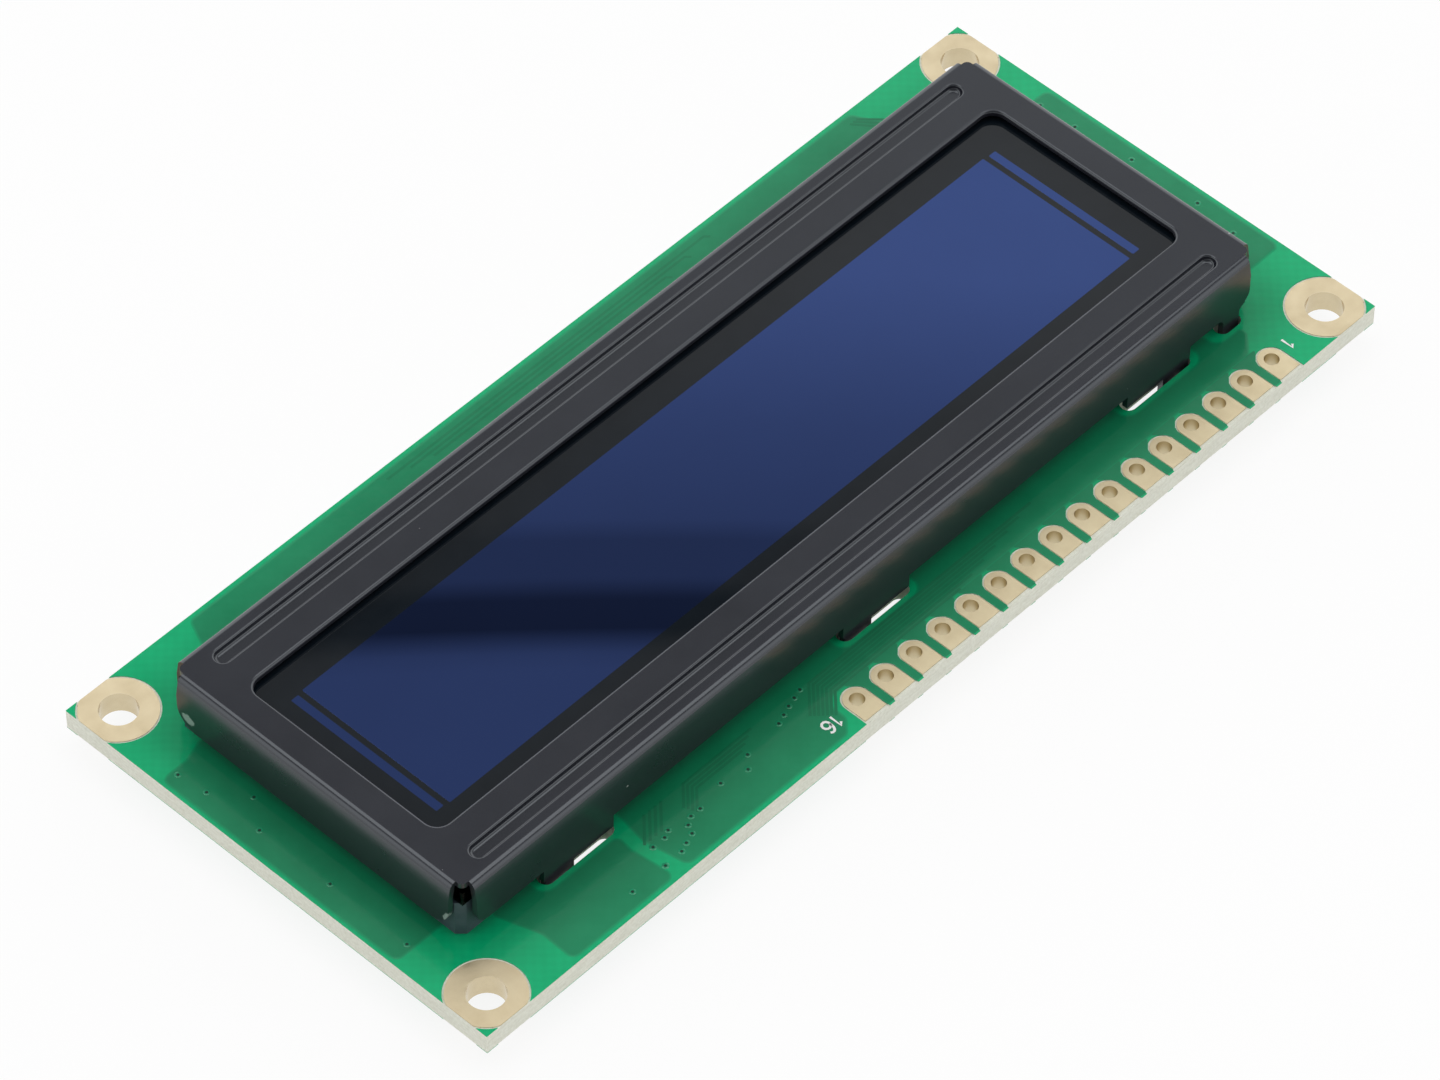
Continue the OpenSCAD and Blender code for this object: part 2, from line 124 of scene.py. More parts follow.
relief(tree, shader, half.outputs[0], 0.012 * MM, 0.6)
dress("laminate", core)


# Green coat: a film of liquid photo-set resist on both faces, glossy, with openings round the holes
# and lands. Bare laminate shows through it, so it is brightest where no copper lies below. On the front
# face its colour is darkened close to the bezel by painted shade.
SHADE_REACH = 3.8 * MM


def effect(name, inputs, outputs):
    """An empty shader group with named numbers in and out."""
    group = bpy.data.node_groups.new(name, "ShaderNodeTree")
    for label, value in inputs.items():
        socket = group.interface.new_socket(label, in_out="INPUT", socket_type="NodeSocketFloat")
        socket.default_value = value
    for label in outputs:
        group.interface.new_socket(label, in_out="OUTPUT", socket_type="NodeSocketFloat")
    return group, group.nodes.new("NodeGroupInput").outputs, group.nodes.new("NodeGroupOutput").inputs


def use(tree, group, sizes):
    """A shared effect in a material's tree, with its sizes set."""
    return put(tree, "ShaderNodeGroup", sizes, node_tree=group).outputs[0]


def span(tree, mask, low, high):
    """A value that runs from low to high with a mask."""
    node = put(tree, "ShaderNodeMapRange", {"Value": mask, "To Min": low, "To Max": high})
    return node.outputs["Result"]


def polish(tree, shader, mask, low, high):
    """Gives a shader a roughness that runs from low to high with a mask."""
    tree.links.new(span(tree, mask, low, high), shader.inputs["Roughness"])


mottle, given, result = effect("mottle", {"Scale": 400.0}, ["Mask"])
where = put(mottle, "ShaderNodeTexCoord").outputs["Object"]
cloud = put(mottle, "ShaderNodeTexNoise",
            {"Vector": where, "Scale": given["Scale"], "Detail": 4.0, "Roughness": 0.6})
spread = put(mottle, "ShaderNodeMapRange",
             {"Value": cloud.outputs["Fac"], "From Min": 0.3, "From Max": 0.7})
mottle.links.new(spread.outputs["Result"], result["Mask"])

cloth, given, result = effect("cloth", {"Pitch": 0.45 * MM}, ["Mask"])
where = put(cloth, "ShaderNodeTexCoord").outputs["Object"]
wander = put(cloth, "ShaderNodeTexNoise", {"Vector": where, "Scale": 500.0, "Detail": 2.0})
axes = put(cloth, "ShaderNodeSeparateXYZ", {"Vector": where})
waves = []
for label in ("X", "Y"):
    turns = put(cloth, "ShaderNodeMath", {0: axes.outputs[label], 1: given["Pitch"]}, operation="DIVIDE")
    loose = put(cloth, "ShaderNodeMath", {0: turns.outputs[0], 1: wander.outputs["Fac"]}, operation="ADD")
    angle = put(cloth, "ShaderNodeMath", {0: loose.outputs[0], 1: math.pi}, operation="MULTIPLY")
    waves.append(put(cloth, "ShaderNodeMath", {0: angle.outputs[0]}, operation="SINE").outputs[0])
crossing = put(cloth, "ShaderNodeMath", {0: waves[0], 1: waves[1]}, operation="MULTIPLY")
raised = put(cloth, "ShaderNodeMapRange", {"Value": crossing.outputs[0], "From Min": -1.0, "From Max": 1.0})
cloth.links.new(raised.outputs["Result"], result["Mask"])

peel, given, result = effect("peel", {"Scale": 2500.0}, ["Height"])
where = put(peel, "ShaderNodeTexCoord").outputs["Object"]
fine = put(peel, "ShaderNodeTexNoise", {"Vector": where, "Scale": given["Scale"], "Detail": 2.0})
quarter = put(peel, "ShaderNodeMath", {0: given["Scale"], 1: 0.22}, operation="MULTIPLY")
broad = put(peel, "ShaderNodeTexNoise", {"Vector": where, "Scale": quarter.outputs[0], "Detail": 1.0})
both = put(peel, "ShaderNodeMath", {0: fine.outputs["Fac"], 1: broad.outputs["Fac"]}, operation="ADD")
peel.links.new(both.outputs[0], result["Height"])

# Painted shade: a mask that is 0 at the bezel's outline, 1 beyond the reach and 1 on the rear face. The
# coats use it to paint the bezel's shadow into their colour.
painted_shade, given, result = effect("painted_shade", {"Reach": SHADE_REACH}, ["Mask"])
shelter_low, shelter_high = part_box("bezel")
middle = (shelter_low + shelter_high) / 2
half_size = (shelter_high - shelter_low) / 2
where = put(painted_shade, "ShaderNodeTexCoord").outputs["Object"]
moved = put(painted_shade, "ShaderNodeVectorMath", {0: where, 1: (middle.x, middle.y, 0.0)}, operation="SUBTRACT")
folded = put(painted_shade, "ShaderNodeVectorMath", {0: moved.outputs[0]}, operation="ABSOLUTE")
past = put(painted_shade, "ShaderNodeVectorMath", {0: folded.outputs[0], 1: (half_size.x, half_size.y, 1.0)},
           operation="SUBTRACT")
clear = put(painted_shade, "ShaderNodeVectorMath", {0: past.outputs[0], 1: (0.0, 0.0, 0.0)}, operation="MAXIMUM")
away = put(painted_shade, "ShaderNodeVectorMath", {0: clear.outputs[0]}, operation="LENGTH")
unshaded = put(painted_shade, "ShaderNodeMapRange",
               {"Value": away.outputs["Value"], "From Min": 0.4 * MM, "From Max": given["Reach"]},
               interpolation_type="SMOOTHSTEP").outputs["Result"]
level = put(painted_shade, "ShaderNodeSeparateXYZ", {"Vector": where})
rear = put(painted_shade, "ShaderNodeMath", {0: level.outputs["Z"], 1: 0.8 * MM}, operation="LESS_THAN")
either = put(painted_shade, "ShaderNodeMath", {0: unshaded, 1: rear.outputs[0]}, operation="MAXIMUM")
painted_shade.links.new(either.outputs[0], result["Mask"])


def green_coat(name, low, high, weave, rim=None):
    """Resist over one ground: its two tones, how far the cloth shows, its rim tone, and painted shade."""
    made, tree, shader = finish(name, {"IOR": 1.5})
    patch = use(tree, mottle, {"Scale": 260.0})
    thread = use(tree, cloth, {"Pitch": 0.42 * MM})
    ground = two_tone(tree, patch, low, high)
    if rim:
        inside = put(tree, "ShaderNodeAttribute", attribute_name="inside").outputs["Fac"]
        ground = put(tree, "ShaderNodeMix", {0: inside, 6: (*rim, 1), 7: ground},
                     data_type="RGBA").outputs[2]
    dim = two_tone(tree, thread, (1 - weave, 1 - weave, 1 - weave), (1, 1, 1))
    woven = put(tree, "ShaderNodeMix", {0: 1.0, 6: ground, 7: dim},
                data_type="RGBA", blend_type="MULTIPLY").outputs[2]
    # Painted shade: on the front face the colour is darkened to 0.78 at the bezel's outline.
    shade_mask = use(tree, painted_shade, {"Reach": SHADE_REACH})
    shade = two_tone(tree, shade_mask, (0.78, 0.78, 0.78), (1, 1, 1))
    shaded = put(tree, "ShaderNodeMix", {0: 1.0, 6: woven, 7: shade},
                  data_type="RGBA", blend_type="MULTIPLY")
    tree.links.new(shaded.outputs[2], shader.inputs["Base Color"])
    polish(tree, shader, patch, 0.08, 0.12)
    ripple = use(tree, peel, {"Scale": 1900.0})
    relief(tree, shader, ripple, 0.006 * MM, 0.6)
    return made


coat_bare = green_coat("coat_on_laminate", (0.002, 0.425, 0.168), (0.005, 0.480, 0.196), 0.07)
coat_copper = green_coat("coat_on_copper", (0.009, 0.240, 0.104), (0.013, 0.280, 0.124), 0.02,
                         rim=(0.004, 0.44, 0.176))
dress("solder_mask_front", coat_bare)
dress("solder_mask_rear", coat_bare)


# Front copper fields: sheets of thin copper foil etched to shape on the laminate and buried under
# the coat. They show as darker, slightly raised fields with soft rounded corners, joined to the board's
# edge by narrow bridges between the header lands.
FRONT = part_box("solder_mask_front")[1][2]
FOIL = 0.004 * MM
SUNK = 0.002 * MM


def piece_from(name, bm, made):
    """Turns a bmesh into a finished piece of the part."""
    mesh = bpy.data.meshes.new(name)
    bm.to_mesh(mesh)
    bm.free()
    mesh.materials.append(made)
    piece = bpy.data.objects.new(name, mesh)
    bpy.context.collection.objects.link(piece)
    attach(piece, "root")
    return piece


def rounded(corners, radius, steps=6):
    """A closed outline in mm with every corner turned on an arc."""
    outline = []
    count = len(corners)
    for i in range(count):
        here = Vector(corners[i])
        before = Vector(corners[i - 1]) - here
        after = Vector(corners[(i + 1) % count]) - here
        half_angle = before.angle(after) / 2
        reach = radius / math.tan(half_angle)
        reach = min(reach, before.length * 0.45, after.length * 0.45)
        turn = reach * math.tan(half_angle)
        bisector = (before.normalized() + after.normalized()).normalized()
        middle = here + bisector * (turn / math.sin(half_angle))
        first = here + before.normalized() * reach - middle
        last = here + after.normalized() * reach - middle
        swing = first.angle_signed(last)
        for k in range(steps + 1):
            outline.append(middle + Matrix.Rotation(-swing * k / steps, 2) @ first)
    return outline


def raise_field(bm, outline, level, top, slope):
    """One closed field in mm: a foot sunk in the coat and a top edge drawn in by slope, marked inside."""
    inside = bm.verts.layers.float.get("inside") or bm.verts.layers.float.new("inside")
    count = len(outline)
    area = sum(outline[i - 1].cross(outline[i]) for i in range(count))
    ring = outline if area > 0 else outline[::-1]
    foot = []
    lip = []
    for i in range(count):
        along = (ring[(i + 1) % count] - ring[i - 1]).normalized()
        inward = Vector((-along.y, along.x))
        inner = ring[i] + inward * slope
        foot.append(bm.verts.new((ring[i].x * MM, ring[i].y * MM, level)))
        lip.append(bm.verts.new((inner.x * MM, inner.y * MM, top)))
        lip[-1][inside] = 1.0
    up = top > level
    for cap in (lip, foot[::-1]):
        bm.faces.new(cap if up else cap[::-1])
    for i in range(count):
        wall = [foot[i - 1], foot[i], lip[i], lip[i - 1]]
        bm.faces.new(wall if up else wall[::-1])


front_fields = [
    [(-32.6, 12.72), (-30.45, 12.72), (-30.45, 11.2), (-28.85, 11.2), (-28.85, 12.75), (-22.0, 12.75),
     (-22.0, 11.2), (-2.85, 11.2), (-2.85, 12.75), (3.95, 12.75), (3.95, 11.2), (22.7, 11.2), (23.2, 14.2),
     (22.6, 17.6), (8.6, 17.6), (7.6, 16.6), (7.6, 14.9), (-31.2, 14.9), (-32.6, 13.5)],
    [(23.6, 12.75), (29.85, 12.75), (29.85, 11.2), (33.5, 11.2), (32.3, 14.9), (32.4, 17.6), (23.4, 17.6),
     (23.8, 14.2)],
    [(35.2, -10.7), (37.4, -9.9), (39.65, -9.9), (39.65, 10.25), (35.2, 10.25)],
    [(-39.65, -9.9), (-34.8, -9.9), (-34.8, 10.2), (-39.65, 10.2)],
    [(-31.4, -13.5), (-29.2, -17.6), (29.8, -17.6), (31.6, -13.5)],
]
FIELD_CORNER = 0.7
FIELD_SLOPE = 0.3
PINS = 16
HEADER_X = -31.85
PITCH = 2.54
bridge_half = [(1.2, 14.7), (0.78, 15.1), (0.44, 15.4), (0.3, 15.75), (0.3, 17.66)]
bm = bmesh.new()
for corners in front_fields:
    raise_field(bm, rounded(corners, FIELD_CORNER), FRONT - SUNK, FRONT + FOIL, FIELD_SLOPE)
for i in range(PINS - 1):
    x = HEADER_X + PITCH * (i + 0.5)
    bridge = [(x + a, y) for a, y in bridge_half] + [(x - a, y) for a, y in bridge_half[::-1]]
    raise_field(bm, rounded(bridge, 0.1, 3), FRONT - SUNK, FRONT + FOIL, 0.02)
piece_from("copper_fields_front", bm, coat_copper)


# Front traces: narrow etched copper lines under the same coat, in bundles that fan towards the header
# row. Each is a low rib with sloped flanks, swept along its path.
def growth(name, sizes):
    """An empty Geometry Nodes tree with a mesh in and out, named sizes and a material."""
    tree = bpy.data.node_groups.new(name, "GeometryNodeTree")
    tree.interface.new_socket("Geometry", in_out="INPUT", socket_type="NodeSocketGeometry")
    for label in sizes:
        tree.interface.new_socket(label, in_out="INPUT", socket_type="NodeSocketFloat")
    tree.interface.new_socket("Material", in_out="INPUT", socket_type="NodeSocketMaterial")
    tree.interface.new_socket("Geometry", in_out="OUTPUT", socket_type="NodeSocketGeometry")
    return tree, tree.nodes.new("NodeGroupInput").outputs, tree.nodes.new("NodeGroupOutput").inputs


def close_growth(tree, given, result, shape):
    """Ends a tree with realized geometry in its material."""
    real = put(tree, "GeometryNodeRealizeInstances", {"Geometry": shape})
    coated = put(tree, "GeometryNodeSetMaterial",
                 {"Geometry": real.outputs[0], "Material": given["Material"]})
    tree.links.new(coated.outputs[0], result["Geometry"])


def grow(name, points, edges, tree, sizes, made, side=1):
    """Runs a tree on points in metres and keeps the result as a mesh piece; side -1 turns it to -Z."""
    seed_mesh = bpy.data.meshes.new(name + "_seed")
    seed_mesh.from_pydata(points, edges, [])
    seed = bpy.data.objects.new(name + "_seed", seed_mesh)
    bpy.context.collection.objects.link(seed)
    grower = seed.modifiers.new("growth", "NODES")
    grower.node_group = tree
    values = {**sizes, "Material": made}
    for item in tree.interface.items_tree:
        if item.in_out == "INPUT" and item.name in values:
            grower[item.identifier] = values[item.name]
    ready = seed.evaluated_get(bpy.context.evaluated_depsgraph_get())
    mesh = bpy.data.meshes.new_from_object(ready)
    seed.modifiers.remove(grower)
    bpy.data.objects.remove(seed)
    bm = bmesh.new()
    bm.from_mesh(mesh)
    bpy.data.meshes.remove(mesh)
    for vert in bm.verts:
        vert.co.z *= side
    for face in bm.faces:
        face.smooth = False
    bmesh.ops.recalc_face_normals(bm, faces=bm.faces)
    return piece_from(name, bm, made)


def runs(paths, level):
    """Points and edges of several open paths in mm, laid at one level."""
    points = []
    edges = []
    for path in paths:
        first = len(points)
        points += [(x * MM, y * MM, level) for x, y in path]
        edges += [(i, i + 1) for i in range(first, len(points) - 1)]
    return points, edges


rib, given, result = growth("trace_rib", ["Width", "Height", "Flank"])
line = put(rib, "GeometryNodeMeshToCurve", {"Mesh": given["Geometry"]})
level_line = put(rib, "GeometryNodeSetCurveNormal", {"Curve": line.outputs[0]}, mode="Z_UP")
crest = put(rib, "ShaderNodeMath", {0: given["Width"], 1: given["Flank"]}, operation="SUBTRACT")
section = put(rib, "GeometryNodeCurvePrimitiveQuadrilateral",
              {"Height": given["Height"], "Bottom Width": given["Width"], "Top Width": crest.outputs[0],
               "Offset": 0.0}, mode="TRAPEZOID")
swept = put(rib, "GeometryNodeCurveToMesh",
            {"Curve": level_line.outputs[0], "Profile Curve": section.outputs[0], "Fill Caps": True})
close_growth(rib, given, result, swept.outputs[0])

front_paths = []
for k in range(7):
    row = 13.05 + 0.26 * k
    turn = 6.7 + 0.11 * (6 - k)
    climb = 15.95 - row - 0.18 * (6 - k)
    front_paths.append([(-12.6 + 1.35 * k, row), (turn, row), (turn + climb, row + climb)])
for k in range(4):
    row = 12.95 + 0.27 * k
    turn = 17.9 + 0.11 * (3 - k)
    front_paths.append([(12.3 + 0.55 * k, row), (turn, row), (turn + 1.3, row + 1.3)])
for k in range(4):
    front_paths.append([(20.1 + 0.48 * k, 12.9), (21.2 + 0.48 * k, 14.0), (21.75 + 0.48 * k, 14.55)])
for k in range(3):
    row = -16.85 + 0.35 * k
    front_paths.append([(-15.2 + 2.1 * k, row + 0.3), (-14.9 + 2.1 * k, row), (13.4 - 1.7 * k, row)])
for k in range(3):
    front_paths.append([(-30.65 + 0.42 * k, -14.6), (-30.3 + 0.42 * k, -15.6), (-29.1 + 0.3 * k, -16.85)])
# The coat on the traces is copper-toned like the fields and darker still by painted shade, standing for the
# shading along their edges.
shaded_trace_coat = green_coat("coat_on_trace_shaded", (0.008, 0.198, 0.087), (0.012, 0.230, 0.103), 0.02)
RIB = 0.008 * MM
RIB_LEVEL = 0.0032 * MM
points, edges = runs(front_paths, FRONT + RIB_LEVEL)
rib_sizes = {"Width": 0.19 * MM, "Height": RIB, "Flank": 0.12 * MM}
grow("traces_front", points, edges, rib, rib_sizes, shaded_trace_coat)


# Front vias: small plated holes that join the copper of both faces, closed over by the coat. Each is
# a low ring with a dark dimple where the coat sinks into the hole.
dot, given, result = growth("via_dot", ["Foot Radius", "Top Radius", "Height"])
button = put(dot, "GeometryNodeMeshCone",
             {"Vertices": 20, "Radius Top": given["Top Radius"], "Radius Bottom": given["Foot Radius"],
              "Depth": given["Height"]})
spots = put(dot, "GeometryNodeInstanceOnPoints",
            {"Points": given["Geometry"], "Instance": button.outputs["Mesh"]})
close_growth(dot, given, result, spots.outputs[0])

front_vias = [
    (13.95, 14.2), (14.75, 15.0), (16.65, 14.55), (18.9, 15.0), (19.7, 15.0), (20.3, 15.35), (20.6, 15.95),
    (21.35, 16.2), (22.0, 16.45), (23.45, 16.5), (26.2, 16.45), (21.4, 14.75), (21.95, 15.0), (22.95, 15.0),
    (8.1, 13.0), (8.8, 13.2), (9.5, 13.4), (10.2, 13.65), (10.9, 13.9), (-38.3, 7.2), (-38.7, 3.85),
    (-38.65, -1.7), (-38.3, -6.25), (-38.2, -9.15), (38.15, 9.6), (38.1, 3.15), (38.15, -2.75),
    (38.3, -7.1), (38.55, -9.3), (36.6, -4.8)]
DIMPLE_LEVEL = FOIL + 0.007 * MM
ring_sizes = {"Foot Radius": 0.26 * MM, "Top Radius": 0.17 * MM, "Height": 0.016 * MM}
dimple_sizes = {"Foot Radius": 0.115 * MM, "Top Radius": 0.1 * MM, "Height": 0.004 * MM}
pit, tree, shader = finish("via_dimple", {"IOR": 1.3, "Roughness": 0.4})
patch = use(tree, mottle, {"Scale": 3000.0})
tint(tree, shader, patch, (0.003, 0.028, 0.015), (0.006, 0.060, 0.033))
coat_ring = green_coat("coat_on_via", (0.010, 0.275, 0.125), (0.014, 0.310, 0.145), 0.0)
via_points = [(x * MM, y * MM, FRONT - SUNK) for x, y in front_vias]
grow("via_rings_front", via_points, [], dot, ring_sizes, coat_ring)
via_points = [(x * MM, y * MM, FRONT + DIMPLE_LEVEL) for x, y in front_vias]
grow("via_dimples_front", via_points, [], dot, dimple_sizes, pit)


# Rear copper fields: the same foil on the rear face, with a ground sheet at each side of the controller,
# narrow bands along the chip rows and strips along the board's long edges.
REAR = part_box("solder_mask_rear")[0][2]
rear_fields = [
    [(-36.2, -10.6), (-20.9, -10.6), (-20.9, 10.4), (-36.2, 10.4)],
    [(9.8, -3.4), (36.6, -3.4), (36.6, 3.4), (9.8, 3.4)],
    [(9.8, 8.7), (36.6, 8.7), (36.6, 10.5), (9.8, 10.5)],
    [(9.8, -10.7), (36.6, -10.7), (36.6, -8.7), (9.8, -8.7)],
    [(-33.0, -17.2), (33.0, -17.2), (33.0, -14.1), (-33.0, -14.1)],
    [(9.4, 14.0), (33.0, 14.0), (33.0, 17.2), (9.4, 17.2)],
]
bm = bmesh.new()
for corners in rear_fields:
    raise_field(bm, rounded(corners, FIELD_CORNER), REAR + SUNK, REAR - FOIL, FIELD_SLOPE)
piece_from("copper_fields_rear", bm, coat_copper)


# Rear traces: etched lines that run from the header lands and from rows of vias to the controller's ring
# of bond pads, and short links from the chip parts to the copper on both sides of them.
drop_low, drop_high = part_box("moulding_drop")
DROP = Vector((drop_low[0] + drop_high[0], drop_low[1] + drop_high[1])) / (2 * MM)
BOND = 6.9


def round_drop(degrees, radius):
    """A point on a circle about the controller, in mm."""
    turn = math.radians(degrees)
    return (DROP.x + radius * math.cos(turn), DROP.y + radius * math.sin(turn))


rear_paths = []
rear_ends = []
for i in range(PINS):
    x = HEADER_X + PITCH * i
    if 5 <= i <= 11:
        turn = 158 - 13 * (i - 5)
        rear_paths.append([(x, 14.95), (x, 10.9), round_drop(turn, 9.2), round_drop(turn, BOND)])
    else:
        rear_paths.append([(x, 14.95), (x, 13.6)])
        rear_ends.append((x, 13.6))
for i in range(12):
    x = DROP.x + 1.9 * (i - 5.5)
    turn = 207 + 126 / 11 * i
    rear_paths.append([round_drop(turn, BOND), round_drop(turn, 8.6), (x, -9.0), (x, -10.3)])
    rear_ends.append((x, -10.3))
for i in range(7):
    y = 1.4 * (i - 3)
    turn = 8 * (i - 3)
    rear_paths.append([round_drop(turn, BOND), round_drop(turn, 8.2), (6.4, y), (8.6, y)])
    rear_ends.append((8.6, y))
for i in range(4):
    y = 1.6 - 1.5 * i
    turn = 168 + 9 * i
    rear_paths.append([round_drop(turn, BOND), round_drop(turn, 8.2), (-15.0, y), (-18.6, y)])
    rear_ends.append((-18.6, y))
chip_places = [(13.0 + 3.4 * i, 6.0) for i in range(6)] + [(13.0 + 3.8 * i, -6.0) for i in range(5)]
for x, y in chip_places:
    rear_paths.append([(x, y - 2.75), (x, y - 1.4)])
    rear_paths.append([(x, y + 1.4), (x, y + 2.75)])
points, edges = runs(rear_paths, REAR + RIB_LEVEL)
rear_sizes = {"Width": 0.24 * MM, "Height": RIB, "Flank": 0.1 * MM}
grow("traces_rear", points, edges, rib, rear_sizes, shaded_trace_coat, side=-1)


# Rear vias: the rear ends of the same plated holes, and the vias that end the rear traces. The coat
# closes them here as well.
via_points = [(x * MM, y * MM, REAR - SUNK) for x, y in front_vias + rear_ends]
grow("via_rings_rear", via_points, [], dot, ring_sizes, coat_ring, side=-1)
via_points = [(x * MM, y * MM, REAR + DIMPLE_LEVEL) for x, y in front_vias + rear_ends]
grow("via_dimples_rear", via_points, [], dot, dimple_sizes, pit, side=-1)


# Plated holes and lands: copper through the holes and on both faces, left open by the coat and washed
# with a thin pale gold. The lands and the rings run out to the board's edges. Flat and slightly grainy
# on the faces, smoother in the barrels.
def gold_wash(name, low, high, barrel, face=0.35):
    """Immersion gold over grainy plated copper, with its roughness in the barrels and on the faces."""
    made, tree, shader = finish(name, {"Metallic": 1.0})
    patch = use(tree, mottle, {"Scale": 700.0})
    grain = use(tree, peel, {"Scale": 9000.0})
    tint(tree, shader, patch, low, high)
    normal = put(tree, "ShaderNodeTexCoord").outputs["Normal"]
    lie = put(tree, "ShaderNodeSeparateXYZ", {"Vector": normal})
    level = put(tree, "ShaderNodeMath", {0: lie.outputs["Z"]}, operation="ABSOLUTE").outputs[0]
    base = span(tree, level, barrel, face)
    extra = span(tree, patch, 0.0, 0.09)
    rough = put(tree, "ShaderNodeMath", {0: base, 1: extra}, operation="ADD")
    tree.links.new(rough.outputs[0], shader.inputs["Roughness"])
    relief(tree, shader, grain, 0.006 * MM, 0.7)
    return made


ring_gold = gold_wash("gold_on_rings", (0.60, 0.50, 0.325), (0.675, 0.58, 0.395), 0.08)
dress("mounting_hole_plating", ring_gold)
ring_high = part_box("mounting_hole_plating")[1]
board_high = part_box("laminate")[1]
EDGE_GAP = 0.015
EDGE_X = board_high[0] / MM - EDGE_GAP
EDGE_Y = board_high[1] / MM - EDGE_GAP
LAP = 0.02
MARGIN_FOOT = FRONT - 0.052 * MM
MARGIN_TOP = ring_high[2] - 0.002 * MM
far_x = ring_high[0] / MM - LAP
far_y = ring_high[1] / MM - LAP
by_end = [(far_x, 13.95), (EDGE_X, 14.4), (EDGE_X, 16.6), (far_x, 17.05)]
by_side = [(35.95, far_y), (39.05, far_y), (38.6, EDGE_Y), (36.4, EDGE_Y)]
bm = bmesh.new()
for end in (-1, 1):
    for flank in (-1, 1):
        for corners in (by_end, by_side):
            strip = [Vector((end * x, flank * y)) for x, y in corners]
            raise_field(bm, strip, MARGIN_FOOT, MARGIN_TOP, 0.004)
piece_from("ring_margins", bm, ring_gold)
land_gold = gold_wash("gold_on_lands", (0.60, 0.505, 0.325), (0.68, 0.59, 0.395), 0.3)
dress("header_hole_plating", land_gold)


# Pin numerals: the first and the last pin's number in white epoxy ink, screen-printed on the coat
# beside the row, so that the pins can be counted from either end.
def arc(middle, reach_x, reach_y, start, end, steps):
    """Points along an ellipse, from one angle in degrees to another."""
    turns = [math.radians(start + (end - start) * k / steps) for k in range(steps + 1)]
    return [(middle[0] + reach_x * math.cos(t), middle[1] + reach_y * math.sin(t)) for t in turns]


ink, tree, shader = finish("white_ink", {"Roughness": 0.55, "IOR": 1.5})
patch = use(tree, mottle, {"Scale": 4200.0})
tint(tree, shader, patch, (0.86, 0.88, 0.86), (0.95, 0.95, 0.94))
one = [(0.02, 0.71), (0.24, 0.93), (0.24, 0.0)]
stem = arc((0.32, 0.46), 0.31, 0.49, 55, 180, 5)
bowl = arc((0.28, 0.285), 0.265, 0.285, 190, 530, 10)
six = stem + bowl
strokes = []
for digit, left, base in ((one, -33.74, 15.38), (one, 8.18, 15.78), (six, 8.78, 15.78)):
    strokes.append([(left + x, base + y) for x, y in digit])
PRINT_LEVEL = FOIL + 0.006 * MM
points, edges = runs(strokes, FRONT + PRINT_LEVEL)
stroke_sizes = {"Width": 0.17 * MM, "Height": 0.02 * MM, "Flank": 0.03 * MM}
grow("pin_numerals", points, edges, rib, stroke_sizes, ink)


# Rear print: a white ring that keeps the cast drop in its place, and an outline round each chip part,
# screen-printed in the same ink as the numerals.
RING_STEPS = 60
FRAME_X = 0.98
FRAME_Y = 1.8
outlines = [[round_drop(360 * k / RING_STEPS, 7.6) for k in range(RING_STEPS + 1)]]
for x, y in chip_places:
    outlines.append([(x - FRAME_X, y - FRAME_Y), (x + FRAME_X, y - FRAME_Y), (x + FRAME_X, y + FRAME_Y),
                     (x - FRAME_X, y + FRAME_Y), (x - FRAME_X, y - FRAME_Y)])
points, edges = runs(outlines, REAR + PRINT_LEVEL)
grow("rear_print", points, edges, rib, stroke_sizes, ink, side=-1)


# Spacer frame: one moulded ring of blue-grey plastic that carries the glass over the board. Its corner
# posts show at the bezel's open corners.
moulded, tree, shader = finish("blue_grey_moulding", {"IOR": 1.48})
patch = use(tree, mottle, {"Scale": 900.0})
grain = use(tree, peel, {"Scale": 5200.0})
tint(tree, shader, patch, (0.042, 0.062, 0.078), (0.066, 0.092, 0.110))
polish(tree, shader, patch, 0.34, 0.48)
relief(tree, shader, grain, 0.008 * MM, 0.6)
dress("spacer_frame", moulded)


# Contact strips: two bars of silicone rubber, sliced from a stack of conducting black and insulating
# rose sheets. They stand in the frame, squeezed between the board's pads and the glass.
def contact_rubber(name):
    """Rose rubber with black conducting slices across it."""
    made, tree, shader = finish(name, {"Roughness": 0.7, "IOR": 1.41})
    where = put(tree, "ShaderNodeTexCoord").outputs["Object"]
    slices = put(tree, "ShaderNodeTexWave", {"Vector": where, "Scale": 1600.0, "Distortion": 0.4})
    tint(tree, shader, slices.outputs["Fac"], (0.02, 0.018, 0.018), (0.50, 0.22, 0.24), 0.45, 0.55)
    relief(tree, shader, slices.outputs["Fac"], 0.01 * MM, 0.5)
    return made


dress("contact_strip_upper", contact_rubber("rubber_upper"))
dress("contact_strip_lower", contact_rubber("rubber_lower"))


# Panel back: a glass cap glued over the emitting layers with a line of dark resin, and a pale drying
# sheet stuck inside it. All of it lies out of sight under the front glass.
resin, tree, shader = finish("seal_resin", {"Roughness": 0.5, "IOR": 1.52})
patch = use(tree, mottle, {"Scale": 1500.0})
tint(tree, shader, patch, (0.010, 0.011, 0.012), (0.022, 0.023, 0.025))
dress("panel_seal", resin)

cap, tree, shader = finish("cap_glass", {"IOR": 1.51, "Coat Weight": 0.4})
patch = use(tree, mottle, {"Scale": 300.0})
tint(tree, shader, patch, (0.05, 0.07, 0.075), (0.08, 0.10, 0.105))
polish(tree, shader, patch, 0.06, 0.12)
dress("rear_cap", cap)

sheet, tree, shader = finish("drying_sheet", {"Roughness": 0.8, "IOR": 1.45})
grain = use(tree, mottle, {"Scale": 4000.0})
tint(tree, shader, grain, (0.66, 0.66, 0.62), (0.78, 0.78, 0.75))
relief(tree, shader, grain, 0.02 * MM, 0.5)
dress("drying_sheet", sheet)


